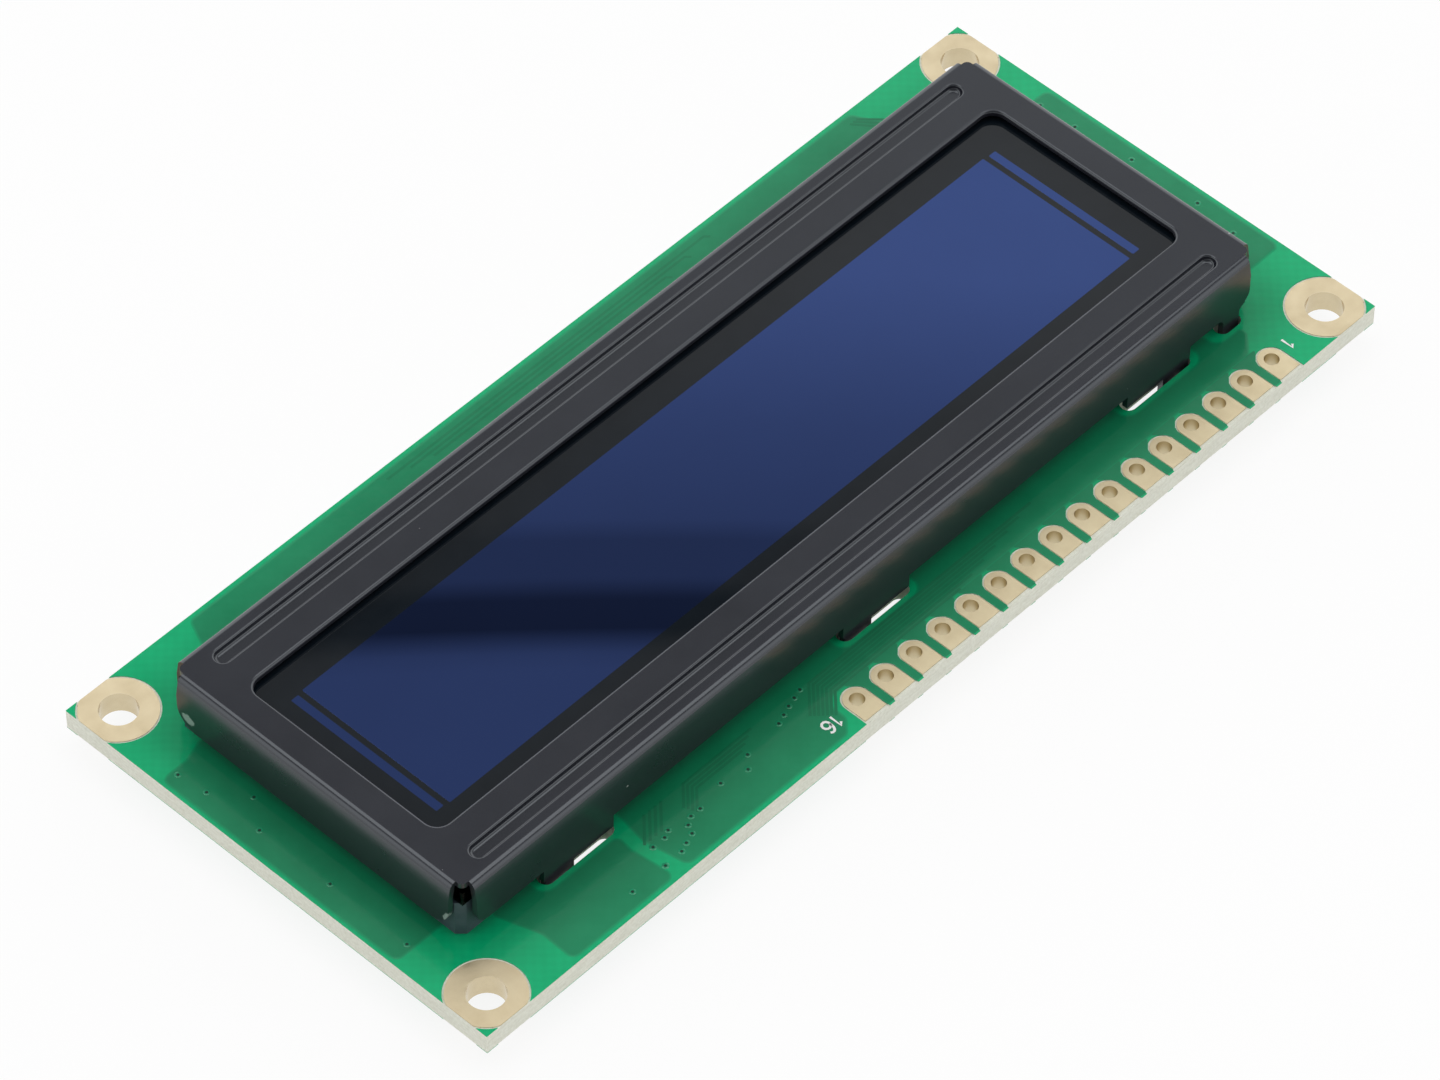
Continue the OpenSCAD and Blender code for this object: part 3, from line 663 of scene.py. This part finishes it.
# Emitting layers and front glass: organic films under a mirror-bright metal electrode, on the back of a
# thin sheet of clear display glass. The film hides them, and only the glass edge shows at open corners.
electrode, tree, shader = finish("blue_electrode", {"Metallic": 1.0, "Coat Weight": 1.0,
                                                    "Coat Roughness": 0.0, "Coat IOR": 1.47})
patch = use(tree, mottle, {"Scale": 90.0})
tint(tree, shader, patch, (0.0235, 0.0700, 0.292), (0.0260, 0.0755, 0.310))
polish(tree, shader, patch, 0.0, 0.003)
dress("emitter_layer", electrode)

pane, tree, shader = finish("display_glass", {"Transmission Weight": 1.0, "IOR": 1.52, "Roughness": 0.03})
patch = use(tree, mottle, {"Scale": 400.0})
tint(tree, shader, patch, (0.62, 0.74, 0.72), (0.70, 0.80, 0.78))
dress("substrate_glass", pane)


# Polarizing film: a thin dark plastic sheet laminated to the glass, smooth and glossy, nearly black by
# reflected light. It lies just under the bezel's window.
black, tree, shader = finish("dark_film", {"Roughness": 0.6, "Specular IOR Level": 0.0, "Coat Weight": 1.0,
                                           "Coat Roughness": 0.0, "Coat IOR": 1.5})
patch = use(tree, mottle, {"Scale": 500.0})
tint(tree, shader, patch, (0.0036, 0.0068, 0.0106), (0.0060, 0.0094, 0.0134))
film_low, film_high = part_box("polarizer_film")
PANEL = Vector((film_low[0] + film_high[0], film_low[1] + film_high[1])) / (2 * MM)
FILM_L = (film_high[0] - film_low[0]) / MM
FILM_W = (film_high[1] - film_low[1]) / MM


def oblong(centre, length, width, radius, steps=5):
    """A rounded rectangle in mm round a centre."""
    x = length / 2
    y = width / 2
    corners = [(-x, -y), (x, -y), (x, y), (-x, y)]
    return rounded([Vector(c) + centre for c in corners], radius, steps)


bm = bmesh.new()
raise_field(bm, oblong(PANEL, FILM_L, FILM_W, 0.2), film_low[2], film_high[2], 0.03)
film = piece_from("polarizing_film", bm, black)
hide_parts("polarizer_film")


# Blue field: the lit area with a narrow stripe clear of it at each end. The eye sees it through the film
# and the glass, where it seems to lie close under the film, so it is shown there and not at its depth.
BLUE_L = 60.3
BLUE_W = 12.4
STRIPE_GAP = 0.42
STRIPE_L = 0.6
STRIPE_W = BLUE_W - 0.2
BLUE_MIDDLE = PANEL + Vector((0.42, 0.40))
blue_low = film_high[2] - 0.002 * MM
blue_top = film_high[2] + 0.003 * MM
bm = bmesh.new()
raise_field(bm, oblong(BLUE_MIDDLE, BLUE_L, BLUE_W, 0.08, 3), blue_low, blue_top, 0.004)
for end in (-1, 1):
    aside = Vector((end * (BLUE_L / 2 + STRIPE_GAP + STRIPE_L / 2), 0.0))
    stripe = oblong(BLUE_MIDDLE + aside, STRIPE_L, STRIPE_W, 0.08, 3)
    raise_field(bm, stripe, blue_low, blue_top, 0.004)
piece_from("blue_field", bm, electrode)


# Bezel: one blank of thin steel, pierced for the window, pressed with two stiffening grooves, folded
# down on four sides and painted satin black. Its tabs pass through the board and are twisted to hold.
# Two pale patches low on one short side are painted reflections; the cut edges at one corner are worn bare.
paint, tree, shader = finish("satin_black_paint", {"IOR": 1.69, "Specular Tint": (0.88, 0.95, 1.0, 1)})
patch = use(tree, mottle, {"Scale": 150.0})
skin = use(tree, peel, {"Scale": 1100.0})
ground = two_tone(tree, patch, (0.0112, 0.0114, 0.0170), (0.0136, 0.0140, 0.0206))
place = put(tree, "ShaderNodeTexCoord").outputs
cells = put(tree, "ShaderNodeTexVoronoi", {"Vector": place["Object"], "Scale": 1300.0})
chance = put(tree, "ShaderNodeSeparateColor", {"Color": cells.outputs["Color"]})
rare = put(tree, "ShaderNodeMath", {0: chance.outputs[0], 1: 0.985}, operation="GREATER_THAN")
small = put(tree, "ShaderNodeMath", {0: cells.outputs["Distance"], 1: 0.12}, operation="LESS_THAN")
dust = put(tree, "ShaderNodeMath", {0: rare.outputs[0], 1: small.outputs[0]}, operation="MULTIPLY")
skin_tone = put(tree, "ShaderNodeMix", {0: dust.outputs[0], 6: ground, 7: (0.20, 0.20, 0.20, 1)},
                data_type="RGBA").outputs[2]
bezel_low, bezel_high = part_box("bezel")
GLINT_LEVEL = 3.4
ragged = span(tree, use(tree, mottle, {"Scale": 1500.0}), -0.16 * MM, 0.16 * MM)
# Painted reflections: two pale grey-green patches with ragged rims, low on the +X flange near each corner,
# stand for light caught there.
for glint_y in (-10.8, 11.05):
    spot = (bezel_high[0], glint_y * MM, GLINT_LEVEL * MM)
    gap = put(tree, "ShaderNodeVectorMath", {0: place["Object"], 1: spot}, operation="DISTANCE")
    glint_rim = put(tree, "ShaderNodeMath", {0: gap.outputs["Value"], 1: ragged}, operation="ADD")
    chip = put(tree, "ShaderNodeMapRange",
               {"Value": glint_rim.outputs[0], "From Min": 0.5 * MM, "From Max": 0.38 * MM}).outputs["Result"]
    skin_tone = put(tree, "ShaderNodeMix", {0: chip, 6: skin_tone, 7: (0.24, 0.29, 0.27, 1)},
                    data_type="RGBA").outputs[2]
tree.links.new(skin_tone, shader.inputs["Base Color"])
lie = put(tree, "ShaderNodeSeparateXYZ", {"Vector": place["Normal"]})
level = put(tree, "ShaderNodeMapRange",
            {"Value": lie.outputs["Z"], "From Min": 0.25, "From Max": 0.6, "To Min": 0.14, "To Max": 0.0})
gloss = span(tree, patch, 0.13, 0.16)
rough = put(tree, "ShaderNodeMath", {0: level.outputs[0], 1: gloss}, operation="ADD")
tree.links.new(rough.outputs[0], shader.inputs["Roughness"])
relief(tree, shader, skin, 0.0003 * MM, 0.6)

bare_cut, tree, shader = finish("bare_cut_edge", {"Metallic": 0.5})
patch = use(tree, mottle, {"Scale": 2400.0})
where = put(tree, "ShaderNodeTexCoord").outputs["Object"]
level = put(tree, "ShaderNodeSeparateXYZ", {"Vector": where}).outputs["Z"]
# The bare edge is brown towards the top and dark towards its foot near the board.
high_up = put(tree, "ShaderNodeMapRange", {"Value": level, "From Min": 3.3 * MM, "From Max": 4.6 * MM})
brown_toward_top = put(tree, "ShaderNodeMath", {0: high_up.outputs["Result"], 1: patch}, operation="MULTIPLY")
tint(tree, shader, brown_toward_top.outputs[0], (0.016, 0.015, 0.016), (0.170, 0.122, 0.088))
polish(tree, shader, patch, 0.45, 0.65)


def number_flats(bm, limit):
    """Numbers the flats of a mesh, each a patch of faces in one plane, and adds up the flats' areas."""
    number = {}
    areas = []
    for first in bm.faces:
        if first in number:
            continue
        number[first] = len(areas)
        areas.append(0.0)
        waiting = [first]
        while waiting:
            face = waiting.pop()
            areas[-1] += face.calc_area()
            for edge in face.edges:
                for other in edge.link_faces:
                    if other not in number and other.normal.angle(face.normal, math.pi) < limit:
                        number[other] = number[first]
                        waiting.append(other)
    return number, areas


def corner_normal(loop, number, areas):
    """The normal at one face corner: of the faces that run on smoothly, the widest flat decides."""
    fan = {loop.face}
    waiting = [loop.face]
    while waiting:
        face = waiting.pop()
        for edge in loop.vert.link_edges:
            if edge.smooth and face in edge.link_faces:
                fresh = [other for other in edge.link_faces if other not in fan]
                fan.update(fresh)
                waiting += fresh
    flats = {number[face]: face.normal for face in sorted(fan, key=lambda face: face.calc_area())}
    total = Vector()
    for flat, normal in flats.items():
        total += normal * areas[flat] ** 2
    return total.normalized()


bm = bmesh.new()
bm.from_mesh(solids["bezel"].data)
bmesh.ops.remove_doubles(bm, verts=bm.verts, dist=0.001 * MM)
bm.normal_update()
for edge in bm.edges:
    edge.smooth = len(edge.link_faces) == 2 and edge.calc_face_angle() < math.radians(50)
OPEN_CORNER = 1.2 * MM
FLANGE_FOOT = FRONT + 0.2 * MM
for face in bm.faces:
    face.smooth = True
    face.material_index = 0
    middle = face.calc_center_median()
    end_x = min(middle.x - bezel_low[0], bezel_high[0] - middle.x)
    end_y = min(middle.y - bezel_low[1], bezel_high[1] - middle.y)
    cut_x = abs(face.normal.x) > 0.99 and abs(end_x - OPEN_CORNER) < 0.02 * MM
    cut_y = abs(face.normal.y) > 0.99 and abs(end_y - OPEN_CORNER) < 0.2 * MM
    worn = middle.x > 0 and middle.y < 0 and middle.z > FLANGE_FOOT
    if worn and (cut_x or cut_y):
        face.material_index = 1
number, areas = number_flats(bm, math.radians(0.6))
normals = [corner_normal(loop, number, areas) for face in bm.faces for loop in face.loops]
painted = bpy.data.meshes.new("painted_bezel")
bm.to_mesh(painted)
bm.free()
painted.normals_split_custom_set(normals)
painted.materials.append(paint)
painted.materials.append(bare_cut)
bezel = bpy.data.objects.new("painted_bezel", painted)
bpy.context.collection.objects.link(bezel)
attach(bezel, "root")
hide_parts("bezel")


# Controller and its drop: a bare silicon die bonded to the rear face, and a round drop of black epoxy
# cast over it and its wires.
wafer, tree, shader = finish("silicon", {"Metallic": 0.6})
patch = use(tree, mottle, {"Scale": 2500.0})
tint(tree, shader, patch, (0.09, 0.10, 0.12), (0.15, 0.16, 0.19))
polish(tree, shader, patch, 0.15, 0.25)
dress("controller_die", wafer)

epoxy, tree, shader = finish("black_epoxy", {"IOR": 1.52})
patch = use(tree, mottle, {"Scale": 420.0})
skin = use(tree, peel, {"Scale": 1500.0})
tint(tree, shader, patch, (0.009, 0.009, 0.009), (0.016, 0.016, 0.015))
polish(tree, shader, patch, 0.28, 0.42)
relief(tree, shader, skin, 0.02 * MM, 0.6)
dress("moulding_drop", epoxy)


# Chip parts: resistors with a black glazed face and capacitors of tan ceramic, each with two tinned
# ends that are soldered to lands on the rear face.
def ceramic(name, low, high, gloss):
    """Fired ceramic with a fine grain."""
    made, tree, shader = finish(name, {"IOR": 1.6})
    patch = use(tree, mottle, {"Scale": 2600.0})
    tint(tree, shader, patch, low, high)
    polish(tree, shader, patch, gloss, gloss + 0.12)
    relief(tree, shader, patch, 0.006 * MM, 0.5)
    return made


def tin(name, low, high, gloss):
    """Tin-rich metal, frozen slightly rippled."""
    made, tree, shader = finish(name, {"Metallic": 1.0})
    patch = use(tree, mottle, {"Scale": 2200.0})
    skin = use(tree, peel, {"Scale": 4200.0})
    tint(tree, shader, patch, low, high)
    polish(tree, shader, patch, gloss, gloss + 0.12)
    relief(tree, shader, skin, 0.012 * MM, 0.6)
    return made


dress("chip_resistors", ceramic("resistor_glaze", (0.012, 0.012, 0.013), (0.024, 0.024, 0.026), 0.2))
dress("chip_capacitors", ceramic("capacitor_ceramic", (0.33, 0.21, 0.115), (0.43, 0.285, 0.165), 0.32))
dress("chip_ends", tin("tinned_ends", (0.60, 0.60, 0.58), (0.74, 0.74, 0.72), 0.3))
dress("solder_joints", tin("solder", (0.62, 0.62, 0.61), (0.78, 0.78, 0.77), 0.16))


# Studio: a plain white table in a white tent with a broad soft light overhead, and the camera at the
# photograph's angle. The tent has a dim seam behind the part, which the panel mirrors as a dark band.
FLOOR = cad_box[0][2]
table = bpy.data.meshes.new("table")
TABLE = 3.0
rim = [(-TABLE, -TABLE, FLOOR), (TABLE, -TABLE, FLOOR), (TABLE, TABLE, FLOOR), (-TABLE, TABLE, FLOOR)]
table.from_pydata(rim, [], [(0, 1, 2, 3)])
floor = bpy.data.objects.new("table", table)
bpy.context.collection.objects.link(floor)
white, tree, shader = finish("white_table", {"Base Color": (0.9, 0.9, 0.9, 1), "Roughness": 0.8})
ray = put(tree, "ShaderNodeLightPath").outputs
seen = put(tree, "ShaderNodeMath", {0: ray["Is Camera Ray"], 1: ray["Is Glossy Ray"]}, operation="MAXIMUM")
seen = put(tree, "ShaderNodeMath", {0: seen.outputs[0], 1: ray["Is Transmission Ray"]}, operation="MAXIMUM")
shine = put(tree, "ShaderNodeEmission", {"Color": (1, 1, 1, 1), "Strength": 1.0})
part_shine = put(tree, "ShaderNodeMixShader", {0: 0.88, 1: shader.outputs[0], 2: shine.outputs[0]})
shown = put(tree, "ShaderNodeMixShader",
            {0: seen.outputs[0], 1: shader.outputs[0], 2: part_shine.outputs[0]})
tree.links.new(shown.outputs[0], tree.nodes["Material Output"].inputs["Surface"])
table.materials.append(white)

tent = bpy.data.worlds.new("tent")
tent.use_nodes = True
bpy.context.scene.world = tent
tree = tent.node_tree
way = put(tree, "ShaderNodeTexCoord").outputs["Generated"]
height = put(tree, "ShaderNodeSeparateXYZ", {"Vector": way}).outputs["Z"]
rise = put(tree, "ShaderNodeMath", {0: height}, operation="ARCSINE")
turned = put(tree, "ShaderNodeMath", {0: rise.outputs[0], 1: 180 / math.pi}, operation="MULTIPLY")
degrees = turned.outputs[0]


def tent_levels(levels):
    """Brightness of the tent by elevation in degrees."""
    low = levels[0][0]
    high = levels[-1][0]
    part = put(tree, "ShaderNodeMapRange", {"Value": degrees, "From Min": low, "From Max": high})
    ramp = put(tree, "ShaderNodeValToRGB", {"Fac": part.outputs["Result"]})
    stops = ramp.color_ramp.elements
    for angle, _ in levels[1:-1]:
        stops.new((angle - low) / (high - low))
    for stop, (angle, level) in zip(stops, levels):
        stop.position = (angle - low) / (high - low)
        stop.color = (level, level, level, 1)
    return ramp.outputs["Color"]


SEAM_LOW = 46.0
SEAM_HIGH = 53.5
broad = tent_levels([(0, 1.25), (25, 1.5), (36, 1.5), (43, 0.88), (SEAM_LOW, 0.66), (SEAM_HIGH, 0.36),
                     (55, 0.36), (57.5, 2.15), (65, 2.1), (75, 1.2), (90, 0.9)])
seam = tent_levels([(SEAM_LOW, 0.66), (47.3, 0.635), (48.4, 0.41), (49.1, 0.325), (49.25, 0.225),
                    (49.53, 0.22), (49.68, 0.095), (49.9, 0.09), (50.08, 0.305), (50.2, 0.34),
                    (SEAM_HIGH, 0.36)])
above = put(tree, "ShaderNodeMath", {0: degrees, 1: SEAM_LOW}, operation="GREATER_THAN")
below = put(tree, "ShaderNodeMath", {0: degrees, 1: SEAM_HIGH}, operation="LESS_THAN")
within = put(tree, "ShaderNodeMath", {0: above.outputs[0], 1: below.outputs[0]}, operation="MULTIPLY")
behind = put(tree, "ShaderNodeMix", {0: within.outputs[0], 6: broad, 7: seam}, data_type="RGBA").outputs[2]
before = tent_levels([(0, 1.0), (12, 0.75), (26, 0.26), (53, 0.2), (62, 0.3), (78, 0.6), (90, 0.9)])
level_way = put(tree, "ShaderNodeVectorMath", {0: way, 1: (1.0, 1.0, 0.0)}, operation="MULTIPLY")
heading = put(tree, "ShaderNodeVectorMath", {0: level_way.outputs[0]}, operation="NORMALIZE")
AWAY = (-0.73, -0.68, 0.0)
facing = put(tree, "ShaderNodeVectorMath", {0: heading.outputs[0], 1: AWAY}, operation="DOT_PRODUCT")
side = put(tree, "ShaderNodeMapRange",
           {"Value": facing.outputs["Value"], "From Min": -0.8, "From Max": -0.3},
           interpolation_type="SMOOTHSTEP")
mixed = put(tree, "ShaderNodeMix", {0: side.outputs["Result"], 6: before, 7: behind}, data_type="RGBA")
tree.links.new(mixed.outputs[2], tree.nodes["Background"].inputs["Color"])

EYE = Vector((231.34, 215.62, 365.26)) * MM
TARGET = Vector((2.79, 1.35, 1.6)) * MM
ROLL = math.radians(0.429)
lens = bpy.data.cameras.new("camera")
lens.sensor_width = 36.0
lens.lens = 196.06
camera = bpy.data.objects.new("camera", lens)
bpy.context.collection.objects.link(camera)
aim = (TARGET - EYE).to_track_quat("-Z", "Y").to_matrix().to_4x4()
camera.matrix_world = Matrix.Translation(EYE) @ aim @ Matrix.Rotation(ROLL, 4, "Z")
bpy.context.scene.camera = camera
bpy.context.scene.view_settings.view_transform = "Standard"
